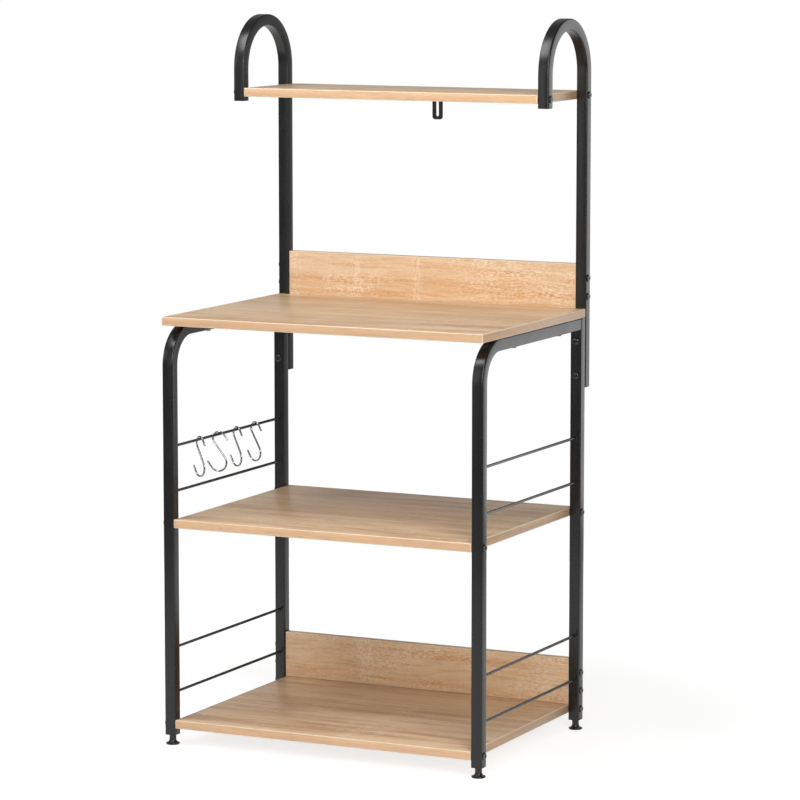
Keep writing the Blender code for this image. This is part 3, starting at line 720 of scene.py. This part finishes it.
class RACK_OT_hoops(bpy.types.Operator):
    """Bend the two hoops, each one length of square tube: short front leg, half turn and long rear post"""

    bl_idname = "rack.hoops"
    bl_label = "Hoops"
    bl_options = {"REGISTER", "UNDO"}

    def execute(self, context):
        sizes = context.scene.rack_sizes
        low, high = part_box("hoop_left")
        side = high.x - low.x
        x, y = low.x + side / 2, low.y + side / 2
        radius = (high.y - low.y - side) / 2
        bend_z = high.z - side / 2 - radius
        end_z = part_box("hoop_cap_left")[0].z + PLUG_LIP + PLUG_LINE
        hoop = start_tube((x, y, end_z), side, sizes)
        push((0, 0, bend_z - end_z))
        bpy.ops.mesh.spin(
            steps=2 * sizes.bend_steps, angle=2 * QUARTER, center=(x, y + radius, bend_z), axis=(1, 0, 0)
        )
        push((0, 0, low.z - bend_z))
        give_wall(hoop, sizes)
        hand_in_pair(hoop, "bent", "hoop")
        return {"FINISHED"}


class RACK_OT_side_rods(bpy.types.Operator):
    """Draw the round side rods, with the small welds that hold their ends"""

    bl_idname = "rack.side_rods"
    bl_label = "Side rods"
    bl_options = {"REGISTER", "UNDO"}

    def execute(self, context):
        sizes = context.scene.rack_sizes
        radius, reach = sizes.rod_thickness / 2, sizes.weld_reach
        length = size_of("rod_middle_upper_left").y
        # The weld, in shares of its reach: how far it stands out, and how far along the rod that is
        weld_shares = [(1.0, 0.0), (0.55, 0.35), (0.22, 0.9), (0.0, 1.9)]
        profile = [(radius + out * reach, along * reach) for out, along in weld_shares]
        profile += [(r, length - z) for r, z in reversed(profile)]
        rod = turned_up(profile, sides=20)
        finish_shape(rod)
        for tier in ("middle_lower", "middle_upper", "bottom_lower", "bottom_upper"):
            for side in SIDES:
                node = f"rod_{tier}_{side}"
                x, _, z = centre_of(node)
                obj = copy_to(rod, (x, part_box(node)[1].y, z), (QUARTER, 0, 0))
                hand_in(obj, f"side_{node}", powder_coat(), [node])
        discard(rod)
        return {"FINISHED"}


def cut_board(node, sizes):
    """A board of the node's size with eased edges."""
    deselect()
    bpy.ops.mesh.primitive_cube_add(size=1, location=centre_of(node), scale=size_of(node))
    obj = settle()
    bpy.ops.mesh.bevel(offset=sizes.board_edge, segments=3, affect="EDGES")
    finish_shape(obj, angle=60)
    return obj


def band_edges(obj, broad, prints):
    """Gives the broad faces, which are square to the axis called broad, the first print, the long edges
    the second, the ends the third, and the eased corners between them the arris."""
    # The last material paints the eased corners pale: a painted highlight
    for material in (*prints, finish_named("edge_band_arris_painted_highlight", arris_highlight_material)):
        obj.data.materials.append(material)
    just(obj)
    bpy.ops.object.mode_set(mode="EDIT")
    # A face is square to an axis where that part of its normal is over this
    square = 0.99
    axes = (broad, Y + Z - broad, X)
    tests = [lambda face, axis=axis: abs(face.normal[axis]) > square for axis in axes]
    tests.append(lambda face: max(map(abs, face.normal)) <= square)
    for index, test in enumerate(tests):
        pick_faces(test)
        obj.active_material_index = index
        bpy.ops.object.material_slot_assign()
    bpy.ops.object.mode_set(mode="OBJECT")


def make_boards(nodes, broad, prints, sizes):
    """Cuts a board for each node, eases and bands its edges and hands it in."""
    for node in nodes:
        obj = cut_board(node, sizes)
        band_edges(obj, broad, prints)
        hand_in(obj, f"{node}_board", None, [node])


def band_tones(finishes):
    """The lightest and the darkest tone of the print on the edge bands."""
    return shaded(finishes.edge_band, 1.06), shaded(finishes.edge_band, 0.9)


class RACK_OT_boards(bpy.types.Operator):
    """Cut the worktop and the three shelves, ease their edges and band them"""

    bl_idname = "rack.boards"
    bl_label = "Boards"
    bl_options = {"REGISTER", "UNDO"}

    def execute(self, context):
        finishes = context.scene.rack_finishes
        light, dark = band_tones(finishes)
        face = oak_print_material(
            "melamine_oak_print_pressed", shaded(finishes.oak_light, 0.9), shaded(finishes.oak_dark, 0.87)
        )
        long_band = oak_print_material(
            "edge_band_oak_print_glued", light, dark, shift=(0.31, 0.17, 0.05), figure=0.3
        )
        # The boards' end band is painted darker, at 0.83 of the long band: painted shade on the ends
        end_band = oak_print_material(
            "edge_band_oak_print_glued_ends_painted_shade", shaded(light, 0.83), shaded(dark, 0.83),
            turn=(0, 0, QUARTER), shift=(0.07, 0.41, 0.11), figure=0.3,
        )
        nodes = ("worktop", "middle_shelf", "bottom_shelf", "top_shelf")
        make_boards(nodes, Z, (face, long_band, end_band), context.scene.rack_sizes)
        return {"FINISHED"}


class RACK_OT_back_panels(bpy.types.Operator):
    """Cut the two low back panels, ease their edges and band them"""

    bl_idname = "rack.back_panels"
    bl_label = "Back panels"
    bl_options = {"REGISTER", "UNDO"}

    def execute(self, context):
        finishes = context.scene.rack_finishes
        light, dark = band_tones(finishes)
        face = oak_print_material(
            "melamine_oak_print_pressed_figured",
            shaded(finishes.oak_light, 0.92), shaded(finishes.oak_dark, 1.2),
            shift=(0.13, 0.0, 0.0), figure=1.7, fine=0.5,
        )
        long_band = oak_print_material(
            "edge_band_oak_print_glued_panel", light, dark, shift=(0.5, 0.2, 0.0), figure=0.3
        )
        end_band = oak_print_material(
            "edge_band_oak_print_glued_panel_ends", light, dark,
            turn=(0, QUARTER, 0), shift=(0.2, 0.3, 0.0), figure=0.3,
        )
        nodes = ("upper_back_panel", "lower_back_panel")
        make_boards(nodes, Y, (face, long_band, end_band), context.scene.rack_sizes)
        return {"FINISHED"}


def cold_head(length, radius, height, shank):
    """A low-head socket bolt that stands on its shank, its head's seat at height 0."""
    across_flats, socket_depth = 4 * MM, 1.5 * MM
    # The head, in shares of its radius and height: straight, then rounded over to its flat top
    head_shares = [(1.0, 0.0), (1.0, 0.50), (0.975, 0.68), (0.92, 0.84), (0.84, 0.95), (0.74, 1.0)]
    chamfer = 0.3 * shank
    profile = [(shank - chamfer, -length), (shank, chamfer - length), (shank, 0.0)]
    profile += [(out * radius, up * height) for out, up in head_shares]
    bolt = turned_up(profile, sides=36)
    finish_shape(bolt)
    bpy.ops.mesh.primitive_cylinder_add(
        vertices=6, radius=across_flats / 2 / math.cos(math.pi / 6), depth=2 * socket_depth,
        location=(0, 0, height),
    )
    hexagon = bpy.context.active_object
    apply_modifier(bolt, "BOOLEAN", operation="DIFFERENCE", object=hexagon, solver="EXACT")
    discard(hexagon)
    finish_shape(bolt)
    return bolt


class RACK_OT_bolts(bpy.types.Operator):
    """Head one socket bolt of each length and put a copy at each joint"""

    bl_idname = "rack.bolts"
    bl_label = "Bolts"
    bl_options = {"REGISTER", "UNDO"}

    def execute(self, context):
        nodes = sorted(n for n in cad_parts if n.startswith("bolt_"))
        height = context.scene.rack_sizes.bolt_head
        shank = 3 * MM
        # The frame's heads stand this far out
        seat = 3.2 * MM
        # How far the first socket is turned, and how much further each next one, in radians
        first_turn, next_turn = 0.37, 0.61
        models = {}
        for number, node in enumerate(nodes):
            low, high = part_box(node)
            to_post = node.startswith("bolt_post")
            reach = high.y - low.y if to_post else high.x - low.x
            radius = (high.z - low.z) / 2
            if to_post not in models:
                models[to_post] = cold_head(reach - seat, radius, height, shank)
            x, y, z = (low + high) / 2
            if to_post:
                at, turn = (x, low.y + seat, z), (QUARTER, 0, 0)
            elif node.endswith("left"):
                at, turn = (low.x + seat, y, z), (0, -QUARTER, 0)
            else:
                at, turn = (high.x - seat, y, z), (0, QUARTER, 0)
            # Each socket stops at its own angle
            just(models[to_post])
            bpy.ops.transform.rotate(
                value=first_turn + next_turn * number, orient_axis="Z", center_override=(0, 0, 0)
            )
            bpy.ops.object.transform_apply(location=True, rotation=True, scale=True)
            obj = copy_to(models[to_post], at, turn)
            hand_in(obj, f"socket_{node}", black_oxide(), [node])
        discard(*models.values())
        return {"FINISHED"}


class RACK_OT_worktop_screws(bpy.types.Operator):
    """Put the pan-head screws that hold the worktop under the rails"""

    bl_idname = "rack.worktop_screws"
    bl_label = "Worktop screws"
    bl_options = {"REGISTER", "UNDO"}

    def execute(self, context):
        radius, height = 5 * MM, 3 * MM
        shank, straight, length = 2.5 * MM, 22 * MM, 29 * MM
        point = 0.5 * shank
        # A cross recess, cut by two crossed bars of this length, width and height
        bar_size = (4.4 * MM, 1 * MM, 2.4 * MM)
        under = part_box("rear_leg_left")[1].z - size_of("rear_leg_left").x
        # The pan head, in shares of its radius and height, from its top down to its seat
        head_shares = [(0.50, 1.0), (0.78, 0.90), (0.94, 0.68), (1.0, 0.40), (1.0, 0.0)]
        profile = [(out * radius, -up * height) for out, up in head_shares]
        profile += [(shank, 0.0), (shank, straight), (point, length)]
        screw = turned_up(profile, sides=28)
        finish_shape(screw)
        for turn in (0.0, QUARTER):
            bpy.ops.mesh.primitive_cube_add(
                size=1, location=(0, 0, -height), rotation=(0, 0, turn), scale=bar_size
            )
            bar = bpy.context.active_object
            apply_modifier(screw, "BOOLEAN", operation="DIFFERENCE", object=bar, solver="EXACT")
            discard(bar)
        finish_shape(screw)
        # The screws stand at shares of the side frame's depth
        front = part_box("front_tube_left")[0].y
        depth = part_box("rear_leg_left")[1].y - front
        for side in SIDES:
            x = centre_of(f"rear_leg_{side}").x
            for place, share in (("front", 0.34), ("rear", 0.78)):
                obj = copy_to(screw, (x, front + share * depth, under))
                hand_in(obj, f"worktop_screw_{place}_{side}", black_oxide(), [])
        discard(screw)
        return {"FINISHED"}


class RACK_OT_hooks(bpy.types.Operator):
    """Bend one S-hook from wire and hang four of it on the upper left rod"""

    bl_idname = "rack.hooks"
    bl_label = "Hooks"
    bl_options = {"REGISTER", "UNDO"}

    def execute(self, context):
        sizes = context.scene.rack_sizes
        chrome = finish_named("chrome_plated_drawn_wire", chrome_material)
        wire = sizes.hook_wire / 2
        # The radii of the two bends, the straight between them and the straight ends
        upper, lower, stem = 11.2 * MM, 15.3 * MM, 34 * MM
        upper_tip, lower_tip = 11 * MM, 12.5 * MM
        steps = 20
        # The wire's domed end, in shares of its radius: each ring's radius, and its place along the wire
        dome_shares = [(0.35, -0.95), (0.72, -0.68), (0.94, -0.32), (1.0, 0.0)]
        rings = [(out * wire, along * wire) for out, along in dome_shares]
        deselect()
        bpy.ops.mesh.primitive_circle_add(
            vertices=16, radius=rings[0][0], fill_type="NGON",
            location=(upper, 0, rings[0][1] - upper_tip),
        )
        hook = settle()
        bpy.ops.mesh.select_mode(type="FACE")
        bpy.ops.mesh.select_all(action="SELECT")
        for (r0, z0), (r1, z1) in zip(rings, rings[1:]):
            push((0, 0, z1 - z0))
            widen(r1 / r0, (upper, 0, z1 - upper_tip))
        push((0, 0, upper_tip))
        bpy.ops.mesh.spin(steps=steps, angle=math.pi, center=(0, 0, 0), axis=(0, 1, 0))
        push((0, 0, -stem))
        bpy.ops.mesh.spin(steps=steps, angle=-math.pi, center=(-upper - lower, 0, -stem), axis=(0, 1, 0))
        push((0, 0, lower_tip))
        end = -upper - 2 * lower
        for (r0, z0), (r1, z1) in zip(rings[::-1], rings[-2::-1]):
            push((0, 0, z0 - z1))
            widen(r1 / r0, (end, 0, lower_tip - stem - z1))
        finish_shape(hook, angle=40)
        # The hook tilts until its middle hangs under the rod, and rests on the rod
        hang, clearance = math.radians(-36.12), 0.05 * MM
        sag = upper - wire - sizes.rod_thickness / 2 - clearance
        just(hook)
        hook.rotation_euler = (0, hang, 0)
        hook.location = (0, 0, -sag)
        bpy.ops.object.transform_apply(location=True, rotation=True, scale=True)
        rod = "rod_middle_upper_left"
        x, _, z = centre_of(rod)
        rod_start, rod_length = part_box(rod)[0].y, size_of(rod).y
        # How far along the rod each hook hangs, in shares of its length, and its turn in degrees
        places = ((0.242, -30), (0.418, 8), (0.590, -29), (0.767, -21))
        for number, (share, turn) in enumerate(places, start=1):
            node = f"s_hook_{number}"
            at = (x, rod_start + share * rod_length, z)
            obj = copy_to(hook, at, (0, 0, math.radians(turn)))
            hand_in(obj, f"wire_{node}", chrome, [node], f"hook_{number}")
        discard(hook)
        return {"FINISHED"}


class RACK_OT_feet(bpy.types.Operator):
    """Turn one levelling foot with its stud and put a copy under each leg"""

    bl_idname = "rack.feet"
    bl_label = "Feet"
    bl_options = {"REGISTER", "UNDO"}

    def execute(self, context):
        pad, neck, stud = size_of("foot_front_left").x / 2, 6 * MM, 4 * MM
        rim, flare, height = 2.8 * MM, 6.5 * MM, 17 * MM
        bevel = 0.4 * MM
        # The pad's edge, from its sole up to its rim: how far it stands in, and its height
        edge = ((1.4 * MM, 0), (0.5 * MM, 0.35 * MM), (0, 1.1 * MM), (0, 2.1 * MM), (0.3 * MM, rim))
        profile = [(pad - inwards, up) for inwards, up in edge]
        crest = profile[-1][0]
        # A quarter of an ellipse runs up from the rim to the neck
        steps = 10
        for step in range(1, steps + 1):
            angle = QUARTER * step / steps
            profile.append((crest - (crest - neck) * math.sin(angle), rim + flare * (1 - math.cos(angle))))
        profile += [(neck, height - bevel), (neck - bevel, height), (stud, height)]
        top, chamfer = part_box("foot_front_left")[1].z, stud / 4
        profile += [(stud, top - chamfer), (stud - chamfer, top)]
        foot = turned_up(profile, sides=48)
        finish_shape(foot)
        for end in ("front", "rear"):
            for side in SIDES:
                node = f"foot_{end}_{side}"
                x, y, _ = centre_of(node)
                obj = copy_to(foot, (x, y, 0))
                hand_in(obj, f"levelling_{node}", nylon(), [node], node)
        discard(foot)
        return {"FINISHED"}


def mould_plug(side, sizes, depth):
    """A square cap with a body that goes up into the tube. Its lip's underside is at height 0."""
    chamfer, clearance = 0.3 * MM, 0.3 * MM
    deselect()
    bpy.ops.mesh.primitive_plane_add(size=side - 2 * chamfer)
    obj = settle()
    bpy.ops.mesh.bevel(offset=sizes.tube_corner - chamfer, segments=5, affect="VERTICES")
    bpy.ops.mesh.select_mode(type="FACE")
    bpy.ops.mesh.select_all(action="SELECT")
    push((0, 0, chamfer))
    widen(side / (side - 2 * chamfer), (0, 0, chamfer))
    push((0, 0, PLUG_LIP - chamfer))
    inner = side - 2 * sizes.tube_wall - 2 * clearance
    push((0, 0, 0))
    widen(inner / side, (0, 0, PLUG_LIP))
    push((0, 0, depth - PLUG_LIP))
    finish_shape(obj)
    return obj


class RACK_OT_end_plugs(bpy.types.Operator):
    """Mould the plugs that close the legs, the hoops' front ends and the posts' lower ends"""

    bl_idname = "rack.end_plugs"
    bl_label = "End plugs"
    bl_options = {"REGISTER", "UNDO"}

    def execute(self, context):
        sizes = context.scene.rack_sizes
        side = size_of("rear_leg_left").x
        plug = mould_plug(side, sizes, size_of("leg_plug_front_left").z)
        cap = mould_plug(side, sizes, size_of("hoop_cap_left").z)
        # The post's plug is pushed this far in, and its lip is this much narrower than the bore
        sunk, play = 0.2 * MM, 0.1 * MM
        for name in SIDES:
            for model, node in (
                (plug, f"leg_plug_front_{name}"),
                (plug, f"leg_plug_rear_{name}"),
                (cap, f"hoop_cap_{name}"),
            ):
                x, y, _ = centre_of(node)
                obj = copy_to(model, (x, y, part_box(node)[0].z))
                hand_in(obj, f"moulded_{node}", nylon(), [node])
            low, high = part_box(f"hoop_{name}")
            x, y = (low.x + high.x) / 2, high.y - side / 2
            obj = copy_to(cap, (x, y, low.z + sunk))
            just(obj)
            bpy.ops.object.mode_set(mode="EDIT")
            bpy.ops.mesh.select_all(action="SELECT")
            widen((side - 2 * sizes.tube_wall - play) / side, (x, y, low.z))
            bpy.ops.object.mode_set(mode="OBJECT")
            hand_in(obj, f"moulded_post_plug_{name}", nylon(), [])
        discard(plug, cap)
        return {"FINISHED"}


class RACK_OT_bracket(bpy.types.Operator):
    """Coat the slotted bracket under the top shelf and blacken its screw"""

    bl_idname = "rack.bracket"
    bl_label = "Bracket"
    bl_options = {"REGISTER", "UNDO"}

    def execute(self, context):
        for node, material in (("tip_bracket", powder_coat()), ("bracket_screw", black_oxide())):
            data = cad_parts[node].data
            data.materials.clear()
            data.materials.append(material)
        return {"FINISHED"}


class RACK_OT_stage(bpy.types.Operator):
    """Lay the studio floor, hang the lamps and set up the camera"""

    bl_idname = "rack.stage"
    bl_label = "Stage"
    bl_options = {"REGISTER", "UNDO"}

    def execute(self, context):
        scene = context.scene
        # The paper lies just under the feet
        below = 0.5 * MM
        deselect()
        bpy.ops.mesh.primitive_circle_add(
            vertices=64, radius=scene.rack_sizes.floor_reach, fill_type="NGON", location=(0, 0, -below)
        )
        floor = settle()
        bpy.ops.object.mode_set(mode="OBJECT")
        floor.name = "studio_floor"
        floor.data.materials.append(studio_floor_material())
        for name, at, aim, width, height, power in LAMPS:
            light = bpy.data.lights.new(name, "AREA")
            light.shape = "RECTANGLE"
            light.size, light.size_y = width, height
            light.energy = power
            lamp = bpy.data.objects.new(name, light)
            lamp.location = at
            lamp.rotation_euler = (Vector(aim) - Vector(at)).to_track_quat("-Z", "Y").to_euler()
            lamp.visible_camera = False
            scene.collection.objects.link(lamp)
        scene.world = bpy.data.worlds.new("white_studio")
        light_world(scene.world)
        lens = bpy.data.cameras.new("camera")
        lens.lens = LENS
        camera = bpy.data.objects.new("camera", lens)
        camera.location = CAMERA_PLACE
        camera.rotation_euler = (math.radians(90 - CAMERA_TILT), 0, math.radians(CAMERA_TURN))
        scene.collection.objects.link(camera)
        scene.camera = camera
        scene.view_settings.view_transform = "Standard"
        return {"FINISHED"}


class RACK_PT_pieces(bpy.types.Panel):
    """Lists the pieces in the order in which they are made"""

    bl_label = "Kitchen shelving unit"
    bl_idname = "RACK_PT_pieces"
    bl_space_type = "VIEW_3D"
    bl_region_type = "UI"
    bl_category = "Rack"

    def draw(self, context):
        layout = self.layout
        for group in (context.scene.rack_sizes, context.scene.rack_finishes):
            column = layout.column(align=True)
            for name in group.__annotations__:
                column.prop(group, name)
        for piece in PIECES:
            layout.operator(piece.bl_idname)


PIECES = (
    RACK_OT_front_tubes,
    RACK_OT_rear_legs,
    RACK_OT_hoops,
    RACK_OT_side_rods,
    RACK_OT_boards,
    RACK_OT_back_panels,
    RACK_OT_bolts,
    RACK_OT_worktop_screws,
    RACK_OT_hooks,
    RACK_OT_feet,
    RACK_OT_end_plugs,
    RACK_OT_bracket,
    RACK_OT_stage,
)
CLASSES = (RackSizes, RackFinishes, *PIECES, RACK_PT_pieces)


def register():
    for cls in CLASSES:
        bpy.utils.register_class(cls)
    bpy.types.Scene.rack_sizes = PointerProperty(type=RackSizes)
    bpy.types.Scene.rack_finishes = PointerProperty(type=RackFinishes)


def unregister():
    del bpy.types.Scene.rack_finishes
    del bpy.types.Scene.rack_sizes
    for cls in reversed(CLASSES):
        bpy.utils.unregister_class(cls)


def main():
    register()
    bpy.ops.rack.front_tubes()
    bpy.ops.rack.rear_legs()
    bpy.ops.rack.hoops()
    bpy.ops.rack.side_rods()
    bpy.ops.rack.boards()
    bpy.ops.rack.back_panels()
    bpy.ops.rack.bolts()
    bpy.ops.rack.worktop_screws()
    bpy.ops.rack.hooks()
    bpy.ops.rack.feet()
    bpy.ops.rack.end_plugs()
    bpy.ops.rack.bracket()
    bpy.ops.rack.stage()


if __name__ == "__main__":
    main()
